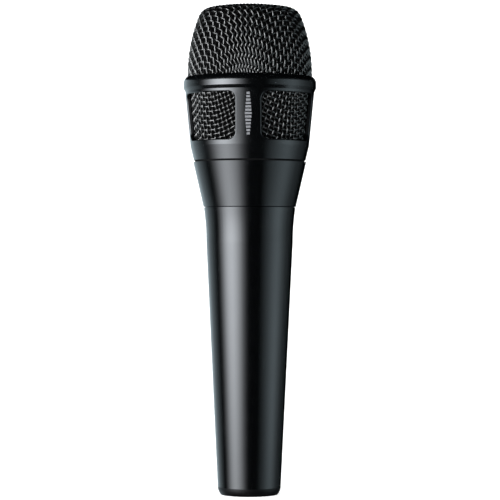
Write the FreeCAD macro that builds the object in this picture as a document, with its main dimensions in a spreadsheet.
import FreeCAD, Part
import math
import os
import re

import Sketcher

# Dynamic vocal microphone, upright, +Z up. The origin is the centre of the tail, on the
# face that it stands on. Lengths are millimetres and angles are degrees.
# Everything on the axis is turned: a sketch of the half section, revolved about Z.

SIZES = {
    # tail ring and handle, outside
    "tail_ring_height": 3.0,
    "tail_bevel": 1.2,
    "tail_curve_radius": 5.0,
    "handle_waist_radius": 16.75,
    "handle_flare": 1.0,
    "handle_length": 108.15,
    "flare_length": 13.4,
    "flare_radius": 95.0,
    "foot_wall": 1.42,
    "spigot_socket_wall": 2.15,
    # neck, outside
    "seam_gap": 0.35,
    "seam_depth": 0.5,
    "neck_step": 0.15,
    "neck_head_radius": 21.87,
    "neck_height": 17.2,
    "neck_ring_wall": 0.95,
    "core_wall": 2.6,
    "core_cone_wall": 1.0,
    "spigot_length": 8.4,
    "spigot_wall": 1.4,
    "core_bore_rise": 0.5,
    "core_bore_drop": 2.0,
    "gasket_thickness": 0.75,
    "gasket_inset": 0.4,
    # thread between the neck and the grille; the groove's start and half width are
    # shares of the pitch
    "thread_length": 6.6,
    "thread_pitch": 1.5,
    "groove_start": 0.6,
    "groove_half_width": 0.4,
    "thread_depth": 0.55,
    "thread_clearance": 0.1,
    # grille frame
    "skirt_step": 0.22,
    "skirt_flare": 1.32,
    "skirt_height": 5.45,
    "skirt_wall": 1.15,
    "window_band_height": 21.1,
    "frame_head_wall": 0.82,
    "frame_wall": 1.25,
    "band_wall": 1.5,
    "band_rise": 1.3,
    "band_flat": 2.0,
    "lip_height": 2.3,
    "lip_curve_radius": 2.9,
    "lip_land": 0.3,
    "rib_width": 9.9,
    "window_corner": 2.8,
    "window_sill": 2.0,
    "window_lintel": 1.2,
    "window_edge": 0.45,
    # woven mesh dome and side mesh, as the closed skins that the wires fill
    "mesh_radius": 24.2,
    "mesh_thickness": 1.1,
    "dome_height": 28.3,
    "dome_spring": 1.4,
    "dome_side_radius": 60.6,
    "dome_corner_radius": 5.5,
    "dome_crown_radius": 100.0,
    "mesh_gap": 0.25,
    "mesh_clearance": 0.5,
    "rim_overlap": 3.6,
    "clamp_height": 3.4,
    "clamp_wall": 1.1,
    "dome_foam_thickness": 3.0,
    "side_foam_thickness": 1.5,
    "side_foam_inset": 0.4,
    # capsule
    "shock_mount_width": 2.6,
    "sleeve_wall": 0.8,
    "sleeve_drop": 4.7,
    "sleeve_lip": 0.5,
    "base_thickness": 2.0,
    "spacer_height": 7.5,
    "spacer_wall": 1.2,
    "port_count": 8,
    "port_width": 5.0,
    "port_height": 4.5,
    # one moving-coil engine
    "basket_wall": 2.1,
    "yoke_wall": 2.0,
    "yoke_floor": 2.0,
    "magnet_gap": 1.0,
    "pole_overhang": 0.4,
    "magnet_height": 5.0,
    "pole_height": 1.5,
    "coil_clearance": 0.25,
    "coil_wall": 0.4,
    "coil_height": 3.4,
    "coil_lift": 1.5,
    "basket_lip": 1.1,
    "diaphragm_thickness": 0.12,
    "diaphragm_rise": 1.6,
    "diaphragm_clearance": 0.2,
    "cap_rim": 0.75,
    "cap_height": 3.8,
    "cap_plate": 1.0,
    "cap_hole_radius": 1.1,
    "cap_hole_inset": 6.4,
    "cap_hole_count": 8,
    # shock mounts, board and air chamber
    "shock_mount_height": 4.0,
    "shock_mount_web": 1.0,
    "shock_mount_foot": 0.6,
    "shock_mount_crest": 0.3,
    "shock_mount_dip": 0.4,
    "upper_mount_drop": 4.8,
    "board_thickness": 1.6,
    "board_ledge_height": 1.2,
    "board_ledge_width": 1.0,
    "post_radius": 0.6,
    "post_length": 2.2,
    "post_circle": 6.0,
    "chamber_wall": 1.0,
    "chamber_height": 16.0,
    "lead_channel": 2.35,
    # cable connector in the tail
    "socket_radius": 8.2,
    "socket_depth": 15.4,
    "shell_wall": 1.4,
    "shell_crown": 2.6,
    "shell_crown_wall": 0.7,
    "mouth_bevel": 0.4,
    "lip_depth": 1.0,
    "lip_clearance": 0.15,
    "latch_offset": 3.0,
    "latch_width": 2.0,
    "latch_depth": 0.55,
    "key_width": 2.6,
    "key_depth": 0.6,
    "ring_spigot_length": 5.0,
    "ring_spigot_wall": 1.1,
    "shoulder_height": 2.0,
    "shoulder_ledge": 1.05,
    "bore_lead_in": 2.0,
    "bore_run_out": 3.0,
    "bore_foot_wall": 1.4,
    "bore_head_wall": 2.3,
    "pin_radius": 1.18,
    "pin_clearance": 0.02,
    "pin_circle": 4.1,
    "pin_recess": 4.3,
    "pin_tip": 0.8,
    "cup_radius": 1.45,
    "cup_length": 5.5,
    "cup_bore": 0.85,
    "cup_bore_depth": 3.0,
    "tab_width": 3.6,
    "tab_thickness": 0.3,
    "tab_end_gap": 0.3,
    "screw_radius": 1.25,
    "screw_length": 3.0,
    "screw_height": 12.0,
    "screw_sink": 0.5,
    "hex_radius": 0.72,
    "hex_depth": 1.3,
    # wires
    "lead_radius": 0.6,
    "fine_lead_radius": 0.4,
    # clearance of what is fitted, and how far a cutting tool runs past what it cuts
    "fit": 0.05,
    "overrun": 1.0,
}

PIN_ANGLES = {"contact_pin_hot": 200.0, "contact_pin_cold": 340.0, "contact_pin_ground": 90.0}
WINDOW_COUNT = 4
TINY = 1e-6
NEAR = 1e-4

# Heights on the axis, each built on the one below it.
TAIL_TOP = "tail_ring_height"
HANDLE_TOP = f"({TAIL_TOP} + handle_length)"
NECK_FOOT = f"({HANDLE_TOP} + seam_gap)"
NECK_TOP = f"({NECK_FOOT} + neck_height)"
THREAD_TOP = f"({NECK_TOP} + thread_length)"
GRILLE_FOOT = f"({NECK_TOP} + gasket_thickness)"
SKIRT_TOP = f"({GRILLE_FOOT} + skirt_height)"
FRAME_HEAD = f"({SKIRT_TOP} + window_band_height)"
BAND_FOOT = f"({FRAME_HEAD} + band_rise)"
BAND_TOP = f"({BAND_FOOT} + band_flat)"
LIP_TOP = f"({BAND_TOP} + lip_height)"
CROWN_TOP = f"({LIP_TOP} + dome_height)"
MESH_SEAT = f"({THREAD_TOP} + mesh_clearance)"
MESH_FOOT = f"({LIP_TOP} - rim_overlap)"
SOCKET_FLOOR = "socket_depth"
SHELL_TOP = f"({SOCKET_FLOOR} + shell_crown)"
TAB_FOOT = f"({SHELL_TOP} - tab_thickness)"
SHOULDER_TOP = f"({SHELL_TOP} + shoulder_height)"
SPIGOT_FOOT = f"({HANDLE_TOP} - spigot_length)"
BOARD_FOOT = f"({SPIGOT_FOOT} + board_ledge_height)"
BOARD_TOP = f"({BOARD_FOOT} + board_thickness)"
SLEEVE_FOOT = f"({NECK_TOP} - sleeve_drop)"
REAR_ENGINE = f"({SLEEVE_FOOT} + sleeve_lip + base_thickness)"
MAGNET_TOP = "(yoke_floor + magnet_height)"
ENGINE_TOP = f"({MAGNET_TOP} + pole_height)"
DIAPHRAGM_FOOT = f"({ENGINE_TOP} + coil_lift)"
BASKET_TOP = f"({ENGINE_TOP} + basket_lip)"
CAP_TOP = f"({BASKET_TOP} + cap_height)"
SPACER_FOOT = f"({REAR_ENGINE} + {CAP_TOP})"
FRONT_ENGINE = f"({SPACER_FOOT} + spacer_height)"
SLEEVE_TOP = f"({FRONT_ENGINE} + {CAP_TOP} + sleeve_lip)"

# Radii that follow from a neighbour, from the tail up.
SHELL = "(socket_radius + shell_wall)"
SHELL_CROWN = f"({SHELL} - shell_crown_wall)"
RING_BORE = f"({SHELL} + fit)"
RING_SPIGOT = f"({RING_BORE} + ring_spigot_wall)"
SPIGOT_BORE = f"({RING_SPIGOT} + fit)"
SHOULDER = f"({RING_BORE} - shoulder_ledge)"
HANDLE_FOOT = f"({SPIGOT_BORE} + foot_wall)"
HANDLE_HEAD = "(handle_waist_radius + handle_flare)"
HANDLE_SOCKET = f"({HANDLE_HEAD} - spigot_socket_wall)"
SPIGOT = f"({HANDLE_SOCKET} - fit)"
BOARD = f"({SPIGOT} - spigot_wall - fit)"
NECK_FOOT_RADIUS = f"({HANDLE_HEAD} + neck_step)"
CORE_FOOT = f"({NECK_FOOT_RADIUS} - neck_ring_wall - fit)"
SKIRT_FOOT = "(neck_head_radius - skirt_step)"
SKIRT_HEAD = f"({SKIRT_FOOT} + skirt_flare)"
SKIRT_BORE = f"({SKIRT_FOOT} - skirt_wall)"
THREAD = f"({SKIRT_BORE} - thread_clearance)"
CORE_BORE_FOOT = f"({SLEEVE_FOOT} - core_bore_drop)"
CONE_RISE = f"({CORE_BORE_FOOT} - {NECK_FOOT}) / neck_height"
CONE_AT_BORE = f"({CORE_FOOT} + ({THREAD} - {CORE_FOOT}) * {CONE_RISE})"
CORE_BORE = f"min({THREAD} - core_wall; {CONE_AT_BORE} - core_cone_wall)"
FRAME_HEAD_RADIUS = "(mesh_radius + frame_head_wall)"
BAND = "(mesh_radius + band_wall)"
SLEEVE = f"({CORE_BORE} - shock_mount_width)"
SLEEVE_BORE = f"({SLEEVE} - sleeve_wall)"
INSERT = f"({SLEEVE_BORE} - fit)"
YOKE = f"({INSERT} - fit - basket_wall)"
YOKE_INNER = f"({YOKE} - yoke_wall)"
POLE = f"({YOKE_INNER} - magnet_gap)"
COIL_INNER = f"({POLE} + coil_clearance)"
COIL_OUTER = f"({COIL_INNER} + coil_wall)"
CAP_INNER = f"({INSERT} - cap_rim)"
CHAMBER = f"(min({BOARD}; {INSERT}) - lead_channel)"
LEAD_CIRCLE = f"({CHAMBER} + lead_channel / 2)"

doc = FreeCAD.newDocument("Microphone")


def make_sheet():
    """The driving sizes, one row each, with the size's name as the cell's alias."""
    table = doc.addObject("Spreadsheet::Sheet", "Sizes")
    for row, (name, value) in enumerate(SIZES.items(), start=1):
        table.set(f"A{row}", name)
        table.set(f"B{row}", str(value))
        table.setAlias(f"B{row}", name)
    doc.recompute()
    return table


sheet = make_sheet()


def linked(text):
    """A formula over size names, as an expression that reads the sheet."""
    return re.sub(r"[a-z_]+", lambda m: f"Sizes.{m[0]}" if m[0] in SIZES else m[0], str(text))


def value(text):
    """What a formula over size names comes to now."""
    return float(sheet.evalExpression(linked(text)))


def bind(thing, **formulas):
    """Ties properties of an object to the sheet. Double underscores stand for dots."""
    for name, text in formulas.items():
        thing.setExpression(name.replace("__", "."), linked(text))
    return thing


def place(thing, x=0, y=0, z=0):
    bind(thing, Placement__Base__x=x, Placement__Base__y=y, Placement__Base__z=z)
    return thing


def new_body(label):
    body = doc.addObject("PartDesign::Body", label)
    body.Label = label
    return body


def origin_plane(body, role):
    return next(f for f in body.Origin.OriginFeatures if f.Role == role)


def new_sketch(body, role, name):
    sketch = body.newObject("Sketcher::SketchObject", name)
    sketch.AttachmentSupport = (origin_plane(body, role), [""])
    sketch.MapMode = "FlatFace"
    return sketch


def arc_between(start, end, radius, turn):
    """The arc from start to end. turn is 1 where it runs anticlockwise and -1 clockwise."""
    chord = end - start
    rise = math.sqrt(max(radius**2 - (chord.Length / 2) ** 2, 0.0))
    across = FreeCAD.Vector(-chord.y, chord.x, 0).normalize()
    centre = start + chord * 0.5 + across * rise * turn
    first, last = (start, end) if turn > 0 else (end, start)
    angles = [math.atan2(p.y - centre.y, p.x - centre.x) for p in (first, last)]
    circle = Part.Circle(centre, FreeCAD.Vector(0, 0, 1), radius)
    return Part.ArcOfCircle(circle, angles[0], angles[1])


def draw_outline(sketch, outline):
    """A closed outline of (radius, height) formulas. A third and fourth item make the run
    to the next point an arc of that radius, anticlockwise for 1 and clockwise for -1."""
    points = [FreeCAD.Vector(value(p[0]), value(p[1]), 0) for p in outline]
    count = len(outline)
    ends = []
    for i, point in enumerate(outline):
        start, end = points[i], points[(i + 1) % count]
        if len(point) > 2:
            sketch.addGeometry(arc_between(start, end, value(point[2]), point[3]), False)
            ends.append((1, 2) if point[3] > 0 else (2, 1))
        else:
            sketch.addGeometry(Part.LineSegment(start, end), False)
            ends.append((1, 2))
    for i in range(count):
        after = (i + 1) % count
        joined = Sketcher.Constraint("Coincident", i, ends[i][1], after, ends[after][0])
        sketch.addConstraint(joined)
    for i, point in enumerate(outline):
        corner = (i, ends[i][0])
        for kind, axis, formula, size in (
            ("DistanceX", -2, point[0], points[i].x),
            ("DistanceY", -1, point[1], points[i].y),
        ):
            if abs(size) < 1e-9:
                sketch.addConstraint(Sketcher.Constraint("PointOnObject", *corner, axis))
                continue
            index = sketch.addConstraint(Sketcher.Constraint(kind, -1, 1, *corner, size))
            sketch.setExpression(f"Constraints[{index}]", linked(formula))
        if len(point) > 2:
            size = value(point[2])
            index = sketch.addConstraint(Sketcher.Constraint("Radius", i, size))
            sketch.setExpression(f"Constraints[{index}]", linked(point[2]))


def revolve(body, sketch):
    turn = body.newObject("PartDesign::Revolution", "Turn")
    turn.Profile = sketch
    turn.ReferenceAxis = (sketch, ["V_Axis"])
    turn.Angle = 360.0
    sketch.Visibility = False
    return turn


def turned(label, outline, foot=0):
    """A turned piece: the half section in outline, revolved about Z, stood at foot."""
    body = new_body(label)
    sketch = new_sketch(body, "XZ_Plane", "Section")
    draw_outline(sketch, outline)
    revolve(body, sketch)
    return place(body, z=foot)


def ring(label, inner, outer, low, high, foot=0):
    """A plain ring, or a disc where inner is 0."""
    return turned(label, [(inner, low), (outer, low), (outer, high), (inner, high)], foot)


def cylinder(name, radius, height, x=0, y=0, z=0):
    shape = doc.addObject("Part::Cylinder", name)
    return place(bind(shape, Radius=radius, Height=height), x, y, z)


def box(name, length, width, height, x, y, z):
    shape = doc.addObject("Part::Box", name)
    return place(bind(shape, Length=length, Width=width, Height=height), x, y, z)


def fused(name, shapes):
    joined = doc.addObject("Part::MultiFuse", name)
    joined.Shapes = shapes
    return joined


def hand_over(label, blank, finished):
    """The finished piece takes over its blank's label."""
    if blank.Label == label:
        blank.Label = blank.Name + "_blank"
    finished.Label = label
    return finished


def cut(label, base, tool):
    """base with tool taken away."""
    rest = doc.addObject("Part::Cut", label + "_cut")
    rest.Base = base
    rest.Tool = tool
    return hand_over(label, base, rest)


def rounded(label, base, radius, chosen):
    """base with the edges that chosen picks rounded off."""
    doc.recompute()
    size = value(radius)
    fillet = doc.addObject("Part::Fillet", label + "_rounded")
    fillet.Base = base
    numbered = enumerate(base.Shape.Edges, start=1)
    fillet.Edges = [(number, size, size) for number, edge in numbered if chosen(edge)]
    return hand_over(label, base, fillet)


def around(text, angle):
    """x and y formulas of a point at a radius, turned by angle degrees about Z."""
    return (
        f"{text} * {math.cos(math.radians(angle)):.9f}",
        f"{text} * {math.sin(math.radians(angle)):.9f}",
    )


# ---------------------------------------------------------------- tail and connector


def tail_ring():
    """Screws into the handle's foot and holds the connector shell by its lip."""
    mouth = "socket_radius + lip_clearance"
    return turned(
        "tail_ring",
        [
            (f"{mouth} + mouth_bevel", 0),
            (f"{HANDLE_FOOT} - tail_bevel", 0, "tail_curve_radius", 1),
            (HANDLE_FOOT, TAIL_TOP),
            (RING_SPIGOT, TAIL_TOP),
            (RING_SPIGOT, f"{TAIL_TOP} + ring_spigot_length"),
            (RING_BORE, f"{TAIL_TOP} + ring_spigot_length"),
            (RING_BORE, "lip_depth"),
            (mouth, "lip_depth"),
            (mouth, "mouth_bevel"),
        ],
    )


def connector_shell():
    """The socket's wall: a plain mouth, the latch's groove, the keyway and the seat of
    the insulator, with a cross hole for the locking screw."""
    latch = "(lip_depth + latch_offset)"
    blank = turned(
        "connector_shell",
        [
            ("socket_radius", "lip_depth"),
            (SHELL, "lip_depth"),
            (SHELL, SHELL_TOP),
            (SHELL_CROWN, SHELL_TOP),
            (SHELL_CROWN, SOCKET_FLOOR),
            ("socket_radius", SOCKET_FLOOR),
            ("socket_radius", f"{latch} + latch_width"),
            ("socket_radius + latch_depth", f"{latch} + latch_width"),
            ("socket_radius + latch_depth", latch),
            ("socket_radius", latch),
        ],
    )
    keyway = box(
        "Keyway",
        "key_width",
        "key_depth + overrun",
        f"{SOCKET_FLOOR} - {latch} - latch_width",
        "-key_width / 2",
        "-socket_radius - key_depth",
        f"{latch} + latch_width",
    )
    hole = screw_hole("ShellScrewHole", f"{SHELL} + overrun", "screw_radius + fit")
    return cut("connector_shell", blank, fused("ShellCuts", [keyway, hole]))


def screw_hole(name, reach, radius):
    """A hole along +Y from the axis, at the locking screw's height."""
    hole = cylinder(name, radius, reach, z="screw_height")
    hole.Placement.Rotation = FreeCAD.Rotation(FreeCAD.Vector(1, 0, 0), -90)
    return hole


def connector_insulator():
    disc = ring("connector_insulator", 0, f"{SHELL_CROWN} - fit", SOCKET_FLOOR, TAB_FOOT)
    holes = [pin_hole(f"PinHole{i}", angle) for i, angle in enumerate(PIN_ANGLES.values())]
    return cut("connector_insulator", disc, fused("PinHoles", holes))


def pin_spot(angle):
    return around("pin_circle", angle)


def pin_hole(name, angle):
    """A contact's hole through the insulator and the ground tab."""
    length = "shell_crown + 2 * overrun"
    foot = f"{SOCKET_FLOOR} - overrun"
    return cylinder(name, "pin_radius + pin_clearance", length, *pin_spot(angle), z=foot)


def contact_pins():
    """Three contacts, each with a rounded tip in the socket and a solder cup above."""
    for label, angle in PIN_ANGLES.items():
        body = turned(
            label,
            [
                (0, "pin_recess"),
                ("pin_radius - pin_tip", "pin_recess"),
                ("pin_radius", "pin_recess + pin_tip"),
                ("pin_radius", SHELL_TOP),
                ("cup_radius", SHELL_TOP),
                ("cup_radius", f"{SHELL_TOP} + cup_length"),
                ("cup_bore", f"{SHELL_TOP} + cup_length"),
                ("cup_bore", f"{SHELL_TOP} + cup_length - cup_bore_depth"),
                (0, f"{SHELL_TOP} + cup_length - cup_bore_depth"),
            ],
        )
        x, y = pin_spot(angle)
        place(body, x, y)


def ground_tab():
    """The flat tab on the insulator that earths the ground contact to the shoulder."""
    reach = f"{SHELL_CROWN} - tab_end_gap - pin_circle + tab_width / 2"
    strip = box(
        "TabStrip",
        "tab_width",
        reach,
        "tab_thickness",
        "-tab_width / 2",
        "pin_circle - tab_width / 2",
        TAB_FOOT,
    )
    return cut("ground_tab", strip, pin_hole("TabHole", PIN_ANGLES["contact_pin_ground"]))


def screw_reach():
    """How far out from the axis the handle's skin is at the screw's height."""
    slope = f"(handle_waist_radius - {HANDLE_FOOT}) / (handle_length - flare_length)"
    return f"({HANDLE_FOOT} + (screw_height - {TAIL_TOP}) * {slope})"


def connector_screw():
    """A set screw with a hexagon socket, sunk under the handle's skin."""
    head = f"({screw_reach()} - screw_sink)"
    shank = cylinder("ScrewShank", "screw_radius", "screw_length", y=head, z="screw_height")
    shank.Placement.Rotation = FreeCAD.Rotation(FreeCAD.Vector(1, 0, 0), 90)
    hexagon = doc.addObject("Part::Prism", "ScrewHexagon")
    hexagon.Polygon = 6
    bind(hexagon, Circumradius="hex_radius", Height="hex_depth + overrun")
    place(hexagon, y=f"{head} + overrun", z="screw_height")
    hexagon.Placement.Rotation = FreeCAD.Rotation(FreeCAD.Vector(1, 0, 0), 90)
    return cut("connector_screw", shank, hexagon)


# ---------------------------------------------------------------- handle and neck


def handle():
    """A tapered tube with a flared head, a shoulder for the connector and a socket for
    the neck's spigot."""
    waist = f"({HANDLE_TOP} - flare_length)"
    socket_foot = f"({SPIGOT_FOOT} - fit)"
    ring_top = f"{TAIL_TOP} + ring_spigot_length + fit"
    bore_head = "handle_waist_radius - bore_head_wall"
    blank = turned(
        "handle",
        [
            (SPIGOT_BORE, TAIL_TOP),
            (HANDLE_FOOT, TAIL_TOP),
            ("handle_waist_radius", waist, "flare_radius", -1),
            (HANDLE_HEAD, HANDLE_TOP),
            (HANDLE_SOCKET, HANDLE_TOP),
            (HANDLE_SOCKET, socket_foot),
            (bore_head, socket_foot),
            (bore_head, f"{waist} - bore_run_out"),
            (f"{HANDLE_FOOT} - bore_foot_wall", f"{SHOULDER_TOP} + bore_lead_in"),
            (SHOULDER, SHOULDER_TOP),
            (SHOULDER, SHELL_TOP),
            (RING_BORE, SHELL_TOP),
            (RING_BORE, ring_top),
            (SPIGOT_BORE, ring_top),
        ],
    )
    hole = screw_hole("HandleScrewHole", f"{screw_reach()} + overrun", "screw_radius + fit")
    return cut("handle", blank, hole)


def neck_core():
    """The threaded tube that joins handle, capsule and grille. Its spigot sits in the
    handle, its cone carries the neck ring and its thread takes the grille."""
    seam = f"{HANDLE_HEAD} - seam_depth"
    ledge = f"{BOARD} - board_ledge_width"
    body = turned(
        "neck_core",
        [
            (ledge, SPIGOT_FOOT),
            (SPIGOT, SPIGOT_FOOT),
            (SPIGOT, HANDLE_TOP),
            (seam, HANDLE_TOP),
            (seam, NECK_FOOT),
            (CORE_FOOT, NECK_FOOT),
            (THREAD, NECK_TOP),
            (THREAD, THREAD_TOP),
            (CORE_BORE, THREAD_TOP),
            (CORE_BORE, CORE_BORE_FOOT),
            (f"{BOARD} + fit", f"{NECK_FOOT} + core_bore_rise"),
            (f"{BOARD} + fit", BOARD_FOOT),
            (ledge, BOARD_FOOT),
        ],
    )
    cut_thread(body)
    return body


def cut_thread(body):
    """Cuts one V groove round the core, from just above the neck ring and out at the top."""
    groove = new_sketch(body, "XZ_Plane", "ThreadGroove")
    start = f"{NECK_TOP} + thread_pitch * groove_start"
    crest = f"{THREAD} + fit"
    half = "thread_pitch * groove_half_width"
    corners = [
        (f"{THREAD} - thread_depth", start),
        (crest, f"{start} - {half}"),
        (crest, f"{start} + {half}"),
    ]
    draw_outline(groove, corners)
    doc.recompute()
    helix = body.newObject("PartDesign::SubtractiveHelix", "Thread")
    helix.Profile = groove
    helix.ReferenceAxis = (groove, ["V_Axis"])
    helix.Mode = 0
    bind(helix, Pitch="thread_pitch", Height="thread_length")
    groove.Visibility = False


def neck_ring():
    """The painted cone between the two seams, slipped over the core."""
    return turned(
        "neck_ring",
        [
            (f"{CORE_FOOT} + fit", NECK_FOOT),
            (NECK_FOOT_RADIUS, NECK_FOOT),
            ("neck_head_radius", NECK_TOP),
            (f"{THREAD} + fit", NECK_TOP),
        ],
    )


def grille_gasket():
    """The thin washer in the seam under the grille."""
    return ring(
        "grille_gasket",
        f"{THREAD} + fit",
        f"{SKIRT_FOOT} - gasket_inset",
        NECK_TOP,
        GRILLE_FOOT,
    )


def terminal_board():
    board = ring("terminal_board", 0, BOARD, BOARD_FOOT, BOARD_TOP)
    length = "board_thickness + 2 * overrun"
    foot = f"{BOARD_FOOT} - overrun"
    holes = [
        cylinder(f"PostHole{i}", "post_radius + fit", length, *post_spot(angle), z=foot)
        for i, angle in enumerate(PIN_ANGLES.values())
    ]
    return cut("terminal_board", board, fused("PostHoles", holes))


def post_spot(angle):
    return around("post_circle", angle)


def board_posts():
    """Three solder posts through the board, one for each wire."""
    posts = [
        cylinder(
            f"Post{i}",
            "post_radius",
            "post_length + board_thickness",
            *post_spot(angle),
            z=f"{BOARD_TOP} - post_length - board_thickness",
        )
        for i, angle in enumerate(PIN_ANGLES.values())
    ]
    group = doc.addObject("Part::Compound", "board_posts")
    group.Links = posts
    group.Label = "board_posts"
    return group


def air_chamber():
    """The closed cup behind the capsule that tunes its low end."""
    return turned(
        "air_chamber",
        [
            (0, 0),
            (CHAMBER, 0),
            (CHAMBER, "chamber_height"),
            (f"{CHAMBER} - chamber_wall", "chamber_height"),
            (f"{CHAMBER} - chamber_wall", "chamber_wall"),
            (0, "chamber_wall"),
        ],
        foot=f"{BOARD_TOP} + fit",
    )


def shock_mount(label, foot):
    """A rubber ring with a thin folded web, between the core's bore and the sleeve."""
    inner = f"({SLEEVE} + fit)"
    outer = f"({CORE_BORE} - fit)"
    middle = f"(({inner} + {outer}) / 2)"
    dip = "(shock_mount_height - shock_mount_dip)"
    return turned(
        label,
        [
            (inner, 0),
            (f"{inner} + shock_mount_foot", 0),
            (middle, f"{dip} - shock_mount_web"),
            (f"{outer} - shock_mount_foot", 0),
            (outer, 0),
            (outer, "shock_mount_height"),
            (f"{outer} - shock_mount_crest", "shock_mount_height"),
            (middle, dip),
            (f"{inner} + shock_mount_crest", "shock_mount_height"),
            (inner, "shock_mount_height"),
        ],
        foot=foot,
    )


# ---------------------------------------------------------------- capsule


def capsule_sleeve():
    """The tube that carries both engines, with a ring of ports between them."""
    tube = ring("capsule_sleeve", SLEEVE_BORE, SLEEVE, SLEEVE_FOOT, SLEEVE_TOP)
    return cut("capsule_sleeve", tube, ports("SleevePort"))


def ports(name):
    """The ring of square ports at the spacer's height, as one cutting tool."""
    count = int(value("port_count"))
    return fused(name + "s", [port(f"{name}{i}", i * 360.0 / count) for i in range(count)])


def port(name, angle):
    """A bar from the axis out past the sleeve."""
    bar = box(name, f"{SLEEVE} + overrun", "port_width", "port_height", 0, 0, 0)
    bar.Placement.Rotation = FreeCAD.Rotation(FreeCAD.Vector(0, 0, 1), angle)
    aside = around("port_width / 2", angle - 90.0)
    return place(bar, *aside, z=f"{SPACER_FOOT} + (spacer_height - port_height) / 2")


def capsule_base():
    return ring("capsule_base", 0, INSERT, f"{SLEEVE_FOOT} + sleeve_lip", REAR_ENGINE)


def capsule_spacer():
    """Holds the two engines apart. Its ports line up with the sleeve's."""
    bore = f"{INSERT} - spacer_wall"
    tube = ring("capsule_spacer", bore, INSERT, SPACER_FOOT, FRONT_ENGINE)
    return cut("capsule_spacer", tube, ports("SpacerPort"))


def engine(side, foot):
    """One moving-coil engine: iron yoke, magnet, pole plate, basket, coil, diaphragm and
    the perforated cap over it."""
    turned(
        f"{side}_yoke",
        [
            (0, 0),
            (YOKE, 0),
            (YOKE, ENGINE_TOP),
            (YOKE_INNER, ENGINE_TOP),
            (YOKE_INNER, "yoke_floor"),
            (0, "yoke_floor"),
        ],
        foot,
    )
    magnet = f"{POLE} - pole_overhang"
    ring(f"{side}_magnet", 0, magnet, "yoke_floor", MAGNET_TOP, foot)
    ring(f"{side}_pole_plate", 0, POLE, MAGNET_TOP, ENGINE_TOP, foot)
    ring(f"{side}_basket", f"{YOKE} + fit", INSERT, 0, BASKET_TOP, foot)
    coil_foot = f"{DIAPHRAGM_FOOT} - coil_height"
    ring(f"{side}_voice_coil", COIL_INNER, COIL_OUTER, coil_foot, DIAPHRAGM_FOOT, foot)
    diaphragm(f"{side}_diaphragm", foot)
    cap(f"{side}_cap", foot)


def diaphragm(label, foot):
    """A thin dome inside the coil, with a flat surround outside it."""
    edge = f"({CAP_INNER} - diaphragm_clearance)"
    crown = f"(({COIL_OUTER}^2 + diaphragm_rise^2) / (2 * diaphragm_rise))"
    skin = f"({DIAPHRAGM_FOOT} + diaphragm_thickness)"
    return turned(
        label,
        [
            (0, f"{DIAPHRAGM_FOOT} + diaphragm_rise", crown, -1),
            (COIL_OUTER, DIAPHRAGM_FOOT),
            (edge, DIAPHRAGM_FOOT),
            (edge, skin),
            (COIL_OUTER, skin, crown, 1),
            (0, f"{skin} + diaphragm_rise"),
        ],
        foot,
    )


def cap(label, foot):
    """The guard over the diaphragm: a rim on the basket and a plate with round ports."""
    blank = turned(
        label,
        [
            (CAP_INNER, BASKET_TOP),
            (INSERT, BASKET_TOP),
            (INSERT, CAP_TOP),
            (0, CAP_TOP),
            (0, f"{CAP_TOP} - cap_plate"),
            (CAP_INNER, f"{CAP_TOP} - cap_plate"),
        ],
        foot,
    )
    count = int(value("cap_hole_count"))
    circle = f"({CAP_INNER} - cap_hole_inset)"
    spots = [(0, 0)] + [around(circle, i * 360.0 / count) for i in range(count)]
    low = f"{foot} + {CAP_TOP} - cap_plate - overrun"
    length = "cap_plate + 2 * overrun"
    drills = [
        cylinder(f"{label}_drill{i}", "cap_hole_radius", length, *spot, z=low)
        for i, spot in enumerate(spots)
    ]
    return cut(label, blank, fused(f"{label}_drills", drills))


# ---------------------------------------------------------------- grille


def frame_skin(height):
    """The frame's outer radius beside the windows, at a height."""
    slope = f"({FRAME_HEAD_RADIUS} - {SKIRT_HEAD}) / window_band_height"
    return f"({SKIRT_HEAD} + ({height} - {SKIRT_TOP}) * {slope})"


def window_cutter(name, angle):
    """A box with rounded top and bottom corners, between two ribs."""
    low = f"{SKIRT_TOP} + window_sill"
    high = "window_band_height - window_sill - window_lintel"
    reach = f"{BAND} + overrun"
    block = rounded(name, box(name, reach, reach, high, 0, 0, 0), "window_corner", rib_corner)
    block.Placement.Rotation = FreeCAD.Rotation(FreeCAD.Vector(0, 0, 1), angle)
    half_rib = f"rib_width / 2 * {math.sqrt(2):.9f}"
    return place(block, *around(half_rib, angle + 45.0), z=low)


def rib_corner(edge):
    """Picks a cutter's level edges beside the ribs."""
    middle = edge.CenterOfMass
    return edge.BoundBox.ZLength < TINY and min(middle.x, middle.y) < TINY


def window_rim(edge):
    """Picks the edges where the windows meet the frame's outer skin."""
    spot = edge.valueAt((edge.FirstParameter + edge.LastParameter) / 2)
    if abs(spot.y) < TINY or not value(SKIRT_TOP) < spot.z < value(FRAME_HEAD):
        return False
    return abs(math.hypot(spot.x, spot.y) - value(frame_skin(spot.z))) < NEAR


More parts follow.
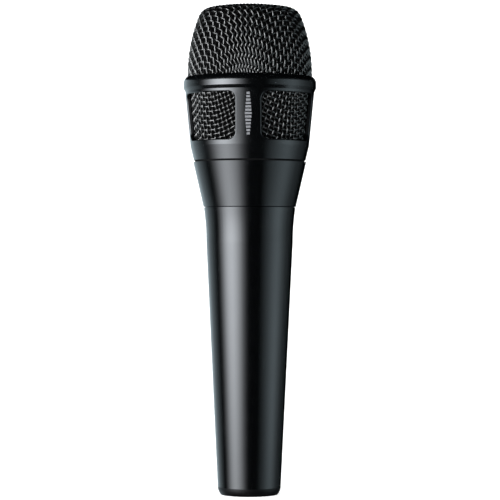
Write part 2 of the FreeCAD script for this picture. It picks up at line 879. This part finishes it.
def grille_frame():
    """The die-cast frame: threaded skirt, four ribs and the thick band that grips the
    dome's rim."""
    bore = "(mesh_radius + fit)"
    ledge = f"({MESH_FOOT} - fit)"
    blank = turned(
        "grille_frame",
        [
            (SKIRT_BORE, GRILLE_FOOT),
            (SKIRT_FOOT, GRILLE_FOOT),
            (SKIRT_HEAD, SKIRT_TOP),
            (FRAME_HEAD_RADIUS, FRAME_HEAD),
            (BAND, BAND_FOOT),
            (BAND, BAND_TOP, "lip_curve_radius", 1),
            (f"{bore} + lip_land", LIP_TOP),
            (bore, LIP_TOP),
            (bore, ledge),
            (f"{frame_skin(ledge)} - frame_wall", ledge),
            (f"{frame_skin(MESH_SEAT)} - frame_wall", MESH_SEAT),
            (SKIRT_BORE, MESH_SEAT),
        ],
    )
    windows = [
        window_cutter(f"Window{i}", i * 360.0 / WINDOW_COUNT) for i in range(WINDOW_COUNT)
    ]
    pierced = cut("grille_frame", blank, fused("Windows", windows))
    return rounded("grille_frame", pierced, "window_edge", window_rim)


def dome_form(name, inset, foot):
    """The dome as a solid, its skin moved in by inset: straight wall, slightly bowed
    side, rounded corner and nearly flat crown."""
    body = new_body(name)
    sketch = new_sketch(body, "XZ_Plane", "Section")
    spring = f"({LIP_TOP} + dome_spring)"
    wall = f"(mesh_radius - {inset})"
    side = f"(dome_side_radius - {inset})"
    crown = f"(dome_crown_radius - {inset})"
    low, middle, high = (value(h) for h in (foot, spring, CROWN_TOP))
    reach, top = value(wall), high - value(inset)
    turn = value(f"dome_corner_radius - {inset}")
    at = FreeCAD.Vector
    corner = at(reach - turn, top - turn / 2, 0)
    flank = arc_between(at(reach, middle, 0), corner, value(side), 1)
    lid = arc_between(corner, at(0, top, 0), value(crown), 1)
    sketch.addGeometry(Part.LineSegment(at(0, low, 0), at(reach, low, 0)), False)
    sketch.addGeometry(Part.LineSegment(at(reach, low, 0), at(reach, middle, 0)), False)
    sketch.addGeometry(flank, False)
    sketch.addGeometry(lid, False)
    sketch.addGeometry(Part.LineSegment(at(0, top, 0), at(0, low, 0)), False)
    for i in range(5):
        joined = Sketcher.Constraint("Coincident", i, 2, (i + 1) % 5, 1)
        sketch.addConstraint(joined)
    rules = [
        ("PointOnObject", (0, 1, -2), None),
        ("Vertical", (4,), None),
        ("Horizontal", (0,), None),
        ("Vertical", (1,), None),
        ("Tangent", (1, 2), None),
        ("PointOnObject", (3, 3, -2), None),
        ("DistanceY", (-1, 1, 0, 1), foot),
        ("DistanceX", (-1, 1, 0, 2), wall),
        ("DistanceY", (-1, 1, 1, 2), spring),
        ("Radius", (2,), side),
        ("Radius", (3,), crown),
        ("DistanceY", (-1, 1, 3, 2), f"{CROWN_TOP} - {inset}"),
    ]
    for kind, items, formula in rules:
        if formula is None:
            sketch.addConstraint(Sketcher.Constraint(kind, *items))
            continue
        rule = Sketcher.Constraint(kind, *items, value(formula))
        index = sketch.addConstraint(rule)
        sketch.setExpression(f"Constraints[{index}]", linked(formula))
    solid = revolve(body, sketch)
    doc.recompute()
    rim = corner_edge(solid.Shape)
    fillet = body.newObject("PartDesign::Fillet", "Corner")
    fillet.Base = (solid, [rim])
    bind(fillet, Radius=f"dome_corner_radius - {inset}")
    return body


def corner_edge(shape):
    """The name of the highest round edge, where the side meets the crown."""
    heights = {
        edge.BoundBox.ZMax: number
        for number, edge in enumerate(shape.Edges, start=1)
        if edge.BoundBox.ZLength < NEAR and edge.BoundBox.XLength > NEAR
    }
    return f"Edge{heights[max(heights)]}"


def grille_mesh():
    """The woven dome, as the skin its wires fill."""
    outer = dome_form("DomeOuter", "0", MESH_FOOT)
    inner = dome_form("DomeInner", "mesh_thickness", f"({MESH_FOOT} - overrun)")
    return cut("grille_mesh", outer, inner)


def dome_foam():
    """The foam liner, pressed into the dome above the clamp ring."""
    inset = "(mesh_thickness + fit)"
    foot = f"({MESH_FOOT} + clamp_height + fit)"
    outer = dome_form("FoamOuter", inset, foot)
    hollow = f"({inset} + dome_foam_thickness)"
    inner = dome_form("FoamInner", hollow, f"({foot} - overrun)")
    return cut("dome_foam", outer, inner)


def mesh_clamp_ring():
    """The hoop that spreads the dome's rim into the frame's band."""
    outer = "(mesh_radius - mesh_thickness - fit)"
    top = f"{MESH_FOOT} + clamp_height"
    return ring("mesh_clamp_ring", f"{outer} - clamp_wall", outer, MESH_FOOT, top)


def cone_wall(label, outset, thickness, low, high):
    """A conical band that follows the frame's wall, outset inside the frame's skin."""
    return turned(
        label,
        [
            (f"{frame_skin(low)} - {outset} - {thickness}", low),
            (f"{frame_skin(low)} - {outset}", low),
            (f"{frame_skin(high)} - {outset}", high),
            (f"{frame_skin(high)} - {outset} - {thickness}", high),
        ],
    )


def side_mesh():
    """The woven band behind the four windows."""
    top = f"({MESH_FOOT} - mesh_clearance)"
    outset = "(frame_wall + mesh_gap)"
    return cone_wall("side_mesh", outset, "mesh_thickness", MESH_SEAT, top)


def side_foam():
    """The thin foam sleeve inside the side mesh."""
    outset = "(frame_wall + mesh_gap + mesh_thickness + fit)"
    low = f"({MESH_SEAT} + side_foam_inset)"
    high = f"({MESH_FOOT} - mesh_clearance - side_foam_inset)"
    return cone_wall("side_foam", outset, "side_foam_thickness", low, high)


# ---------------------------------------------------------------- wires


def smooth_path(points):
    """Straight runs joined by tangent arcs, each arc as large as its two runs allow."""
    edges = []
    radii = []
    start = points[0]
    for before, corner, after in zip(points, points[1:], points[2:]):
        into = (corner - before).normalize()
        out = (after - corner).normalize()
        room = 0.45 * min((corner - before).Length, (after - corner).Length)
        half = into.getAngle(out) / 2
        radius = room / math.tan(half)
        first = corner - into * room
        last = corner + out * room
        inside = (out - into).normalize() * radius * (1 / math.cos(half) - 1)
        edges.append(Part.LineSegment(start, first).toShape())
        edges.append(Part.Arc(first, corner + inside, last).toShape())
        radii.append(radius)
        start = last
    edges.append(Part.LineSegment(start, points[-1]).toShape())
    return Part.Wire(edges), min(radii)


def tube_along(label, points, radius):
    """An insulated wire along points, as a tube. Prints how it came out."""
    path, least = smooth_path(points)
    end = Part.Circle(points[0], points[1] - points[0], radius).toShape()
    tube = path.makePipeShell([Part.Wire(end)], True, False)
    share = tube.Volume / (math.pi * radius**2 * path.Length)
    print(f"{label}: {path.Length:.1f} mm, least bend {least:.1f} mm, volume ratio {share:.4f}")
    return tube


def out_at(angle, radius, height):
    turn = math.radians(angle)
    return FreeCAD.Vector(math.cos(turn) * radius, math.sin(turn) * radius, height)


def add_shape(label, shape):
    piece = doc.addObject("Part::Feature", label)
    piece.Shape = shape
    piece.Placement = FreeCAD.Placement()
    return piece


def handle_leads():
    """Three wires from the board's posts to the solder cups, each with its own sway."""
    top = value(BOARD_TOP) - value("post_length") - value("board_thickness")
    foot = value(SHELL_TOP) + value("cup_length") - value("cup_bore_depth")
    span = top - foot
    post = value("post_circle")
    cup = value("pin_circle")
    sways = (-14.0, 14.0, 18.0)
    labels = ("lead_hot", "lead_cold", "lead_ground")
    for label, sway, angle in zip(labels, sways, PIN_ANGLES.values()):
        points = [
            out_at(angle, post, top),
            out_at(angle, post, top - span * 0.16),
            out_at(angle + sway, post - 0.8, top - span * 0.38),
            out_at(angle - sway * 0.6, cup + 1.6, top - span * 0.64),
            out_at(angle, cup, foot + span * 0.14),
            out_at(angle, cup, foot),
        ]
        add_shape(label, tube_along(label, points, value("lead_radius")))


def capsule_leads():
    """The two fine wires from the board up to the capsule's base."""
    low = value(BOARD_TOP)
    rise = value(f"{SLEEVE_FOOT} + sleeve_lip") - low
    circle = value(LEAD_CIRCLE)
    steps = ((0.0, 0.0), (0.22, 0.0), (0.48, 5.0), (0.78, 0.0), (1.0, 0.0))
    tubes = []
    for angle in (PIN_ANGLES["contact_pin_hot"], PIN_ANGLES["contact_pin_cold"]):
        points = [out_at(angle + swing, circle, low + rise * share) for share, swing in steps]
        tubes.append(tube_along("capsule_leads", points, value("fine_lead_radius")))
    add_shape("capsule_leads", Part.Compound(tubes))


# ---------------------------------------------------------------- assembly


def build():
    tail_ring()
    connector_shell()
    connector_insulator()
    contact_pins()
    ground_tab()
    connector_screw()
    handle()
    neck_core()
    neck_ring()
    grille_gasket()
    terminal_board()
    board_posts()
    air_chamber()
    shock_mount("upper_shock_mount", f"{THREAD_TOP} - upper_mount_drop")
    shock_mount("lower_shock_mount", SLEEVE_FOOT)
    capsule_sleeve()
    capsule_base()
    capsule_spacer()
    engine("rear", REAR_ENGINE)
    engine("front", FRONT_ENGINE)
    grille_frame()
    grille_mesh()
    dome_foam()
    mesh_clamp_ring()
    side_mesh()
    side_foam()
    handle_leads()
    capsule_leads()


ENGINE = ("yoke", "magnet", "pole_plate", "basket", "voice_coil", "diaphragm", "cap")
TAIL = ["tail_ring", "connector_shell", "connector_insulator", "ground_tab", "connector_screw"]
NECK = ["handle", "neck_core", "neck_ring", "grille_gasket"]
INSIDE = ["terminal_board", "board_posts", "air_chamber", "upper_shock_mount", "lower_shock_mount"]
CAPSULE = ["capsule_sleeve", "capsule_base", "capsule_spacer"]
GRILLE = ["grille_frame", "grille_mesh", "dome_foam", "mesh_clamp_ring", "side_mesh", "side_foam"]
LEADS = ["lead_hot", "lead_cold", "lead_ground", "capsule_leads"]
ENGINES = [f"{side}_{piece}" for side in ("rear", "front") for piece in ENGINE]
NODES = [*TAIL, *PIN_ANGLES, *NECK, *INSIDE, *CAPSULE, *ENGINES, *GRILLE, *LEADS]


def check_and_write():
    """Stops on any failed object or bad solid, then writes one file for each piece."""
    doc.recompute()
    failed = [o.Label for o in doc.Objects if {"Invalid", "Error"} & set(o.State)]
    if failed:
        raise SystemExit(f"these objects failed: {failed}")
    finished = {}
    for node in NODES:
        found = [o for o in doc.Objects if o.Label == node]
        if len(found) != 1:
            raise SystemExit(f"{node}: {len(found)} objects have this label")
        shape = found[0].Shape
        if shape.isNull() or not shape.isValid() or not shape.Solids:
            raise SystemExit(f"{node} has no valid solid")
        finished[node] = shape
    os.makedirs("parts", exist_ok=True)
    for node, shape in finished.items():
        shape.exportStep(f"parts/{node}.step")
        print(f"{node}: {len(shape.Solids)} solid(s), {shape.Volume / 1000:.3f} cm3")


build()
check_and_write()
